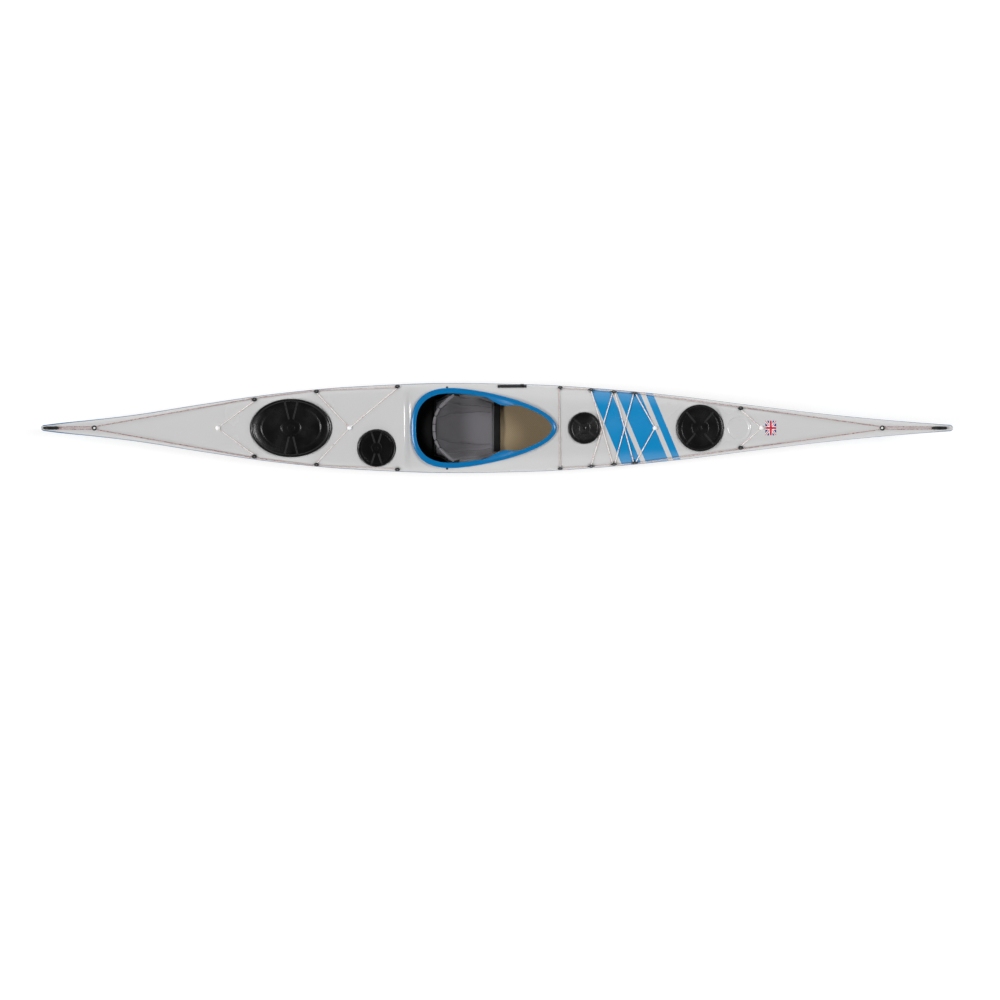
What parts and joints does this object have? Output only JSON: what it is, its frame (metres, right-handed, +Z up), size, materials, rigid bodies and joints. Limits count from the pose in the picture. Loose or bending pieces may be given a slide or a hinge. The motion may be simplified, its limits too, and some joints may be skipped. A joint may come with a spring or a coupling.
{
  "type": "sea kayak",
  "caption": "Long narrow composite sea kayak with an open cockpit, round and oval deck hatches, a drop-down skeg, footrests, a padded seat and elastic deck lines.",
  "frame": {"origin": "under the middle of the boat, at the centre of its bounding box, on the surface that the keel rests on", "axes": "+X towards the bow, +Y to port, +Z up"},
  "size_m": [5.46, 0.5398, 0.501],
  "materials": {
    "hull_laminate": "clear woven laminate, gloss",
    "deck_gelcoat": "light grey gelcoat, gloss",
    "blue_gelcoat": "blue gelcoat, gloss",
    "black_rubber": "moulded rubber, satin",
    "black_plastic": "moulded plastic, satin",
    "bare_laminate": "bare woven laminate, satin",
    "grey_fabric": "foam pad under woven fabric, matt",
    "black_webbing": "padded webbing, matt",
    "flecked_cord": "braided cord with flecks, matt",
    "aluminium": "anodised, satin",
    "stainless_steel": "brushed"
  },
  "bodies": {
    "kayak": {"cockpit_coaming": "blue_gelcoat", "stern_hatch_rim": "black_plastic", "day_hatch_rim": "black_plastic", "pod_hatch_rim": "black_plastic", "bow_hatch_rim": "black_plastic", "deck_pod": "bare_laminate", "port_seat_bolt": "black_plastic", "starboard_seat_bolt": "black_plastic", "skeg_box": "black_plastic", "skeg_pin": "stainless_steel", "skeg_slider_track": "black_plastic", "skeg_cable": "black_plastic", "hull_shell": "hull_laminate", "deck_shell": "deck_gelcoat", "front_bulkhead": "bare_laminate", "rear_bulkhead": "bare_laminate", "day_bulkhead": "bare_laminate", "seam_band": "blue_gelcoat", "bow_keel_strip": "blue_gelcoat", "stern_keel_strip": "blue_gelcoat", "seat_pan": "black_plastic", "seat_pad": "grey_fabric", "seat_front_strap": "black_webbing", "port_footrest_rail": "aluminium", "starboard_footrest_rail": "aluminium", "port_aft_outer_fitting": "black_plastic", "starboard_aft_outer_fitting": "black_plastic", "port_aft_middle_fitting": "black_plastic", "starboard_aft_middle_fitting": "black_plastic", "port_aft_inner_fitting": "black_plastic", "starboard_aft_inner_fitting": "black_plastic", "port_fore_first_fitting": "black_plastic", "starboard_fore_first_fitting": "black_plastic", "port_fore_second_fitting": "black_plastic", "starboard_fore_second_fitting": "black_plastic", "port_fore_third_fitting": "black_plastic", "starboard_fore_third_fitting": "black_plastic", "port_fore_fourth_fitting": "black_plastic", "starboard_fore_fourth_fitting": "black_plastic", "port_fore_fifth_fitting": "black_plastic", "starboard_fore_fifth_fitting": "black_plastic", "stern_centre_fitting": "black_plastic", "bow_centre_fitting": "black_plastic", "aft_deckline": "flecked_cord", "fore_deckline": "flecked_cord", "aft_bungee": "flecked_cord", "rear_bungee": "flecked_cord", "bow_bungee": "flecked_cord", "fore_bungee": "flecked_cord"},
    "stern_hatch_cover": {"stern_hatch_cover": "black_rubber"},
    "day_hatch_cover": {"day_hatch_cover": "black_rubber"},
    "pod_hatch_cover": {"pod_hatch_cover": "black_rubber"},
    "bow_hatch_cover": {"bow_hatch_cover": "black_rubber"},
    "skeg_blade": {"skeg_blade": "black_plastic"},
    "skeg_slider_knob": {"skeg_slider_knob": "black_plastic"},
    "port_footrest_pedal": {"port_footrest_pedal": "black_plastic"},
    "starboard_footrest_pedal": {"starboard_footrest_pedal": "black_plastic"},
    "back_band": {"back_band": "grey_fabric"},
    "stern_toggle": {"stern_toggle": "black_rubber"},
    "bow_toggle": {"bow_toggle": "black_rubber"}
  },
  "joints": [
    {"name": "stern_hatch_lift", "type": "slide", "parent": "kayak", "child": "stern_hatch_cover", "axis": [0, 0, 1], "range_m": [0, 0.12]},
    {"name": "day_hatch_lift", "type": "slide", "parent": "kayak", "child": "day_hatch_cover", "axis": [0, -0.1392, 0.9903], "range_m": [0, 0.12]},
    {"name": "pod_hatch_lift", "type": "slide", "parent": "kayak", "child": "pod_hatch_cover", "axis": [0.068, 0, 0.9977], "range_m": [0, 0.12]},
    {"name": "bow_hatch_lift", "type": "slide", "parent": "kayak", "child": "bow_hatch_cover", "axis": [0, 0, 1], "range_m": [0, 0.12]},
    {"name": "skeg_pivot", "type": "hinge", "parent": "kayak", "child": "skeg_blade", "pos_m": [-1.837, 0, 0.04], "axis": [0, -1, 0], "range_deg": [0, 60]},
    {"name": "skeg_slider", "type": "slide", "parent": "kayak", "child": "skeg_slider_knob", "axis": [-1, 0.0019, 0.001], "range_m": [0, 0.12]},
    {"name": "port_footrest_slide", "type": "slide", "parent": "kayak", "child": "port_footrest_pedal", "axis": [0.996, -0.0889, 0], "range_m": [-0.14, 0.14]},
    {"name": "starboard_footrest_slide", "type": "slide", "parent": "kayak", "child": "starboard_footrest_pedal", "axis": [0.996, 0.0889, 0], "range_m": [-0.14, 0.14]},
    {"name": "back_band_tilt", "type": "hinge", "parent": "kayak", "child": "back_band", "pos_m": [-0.262, 0, 0.224], "axis": [0, 1, 0], "range_deg": [-10, 20]},
    {"name": "stern_toggle_swivel", "type": "hinge", "parent": "kayak", "child": "stern_toggle", "pos_m": [-2.67042, 0, 0.25032], "axis": [0.0307, 0, 0.9995], "range_deg": [-90, 90]},
    {"name": "bow_toggle_swivel", "type": "hinge", "parent": "kayak", "child": "bow_toggle", "pos_m": [2.65132, 0, 0.46184], "axis": [-0.1311, 0, 0.9914], "range_deg": [-90, 90]}
  ],
  "couplings": [
    {"joint": "skeg_slider", "follows": "skeg_pivot", "m_per_rad": 0.1145}
  ]
}
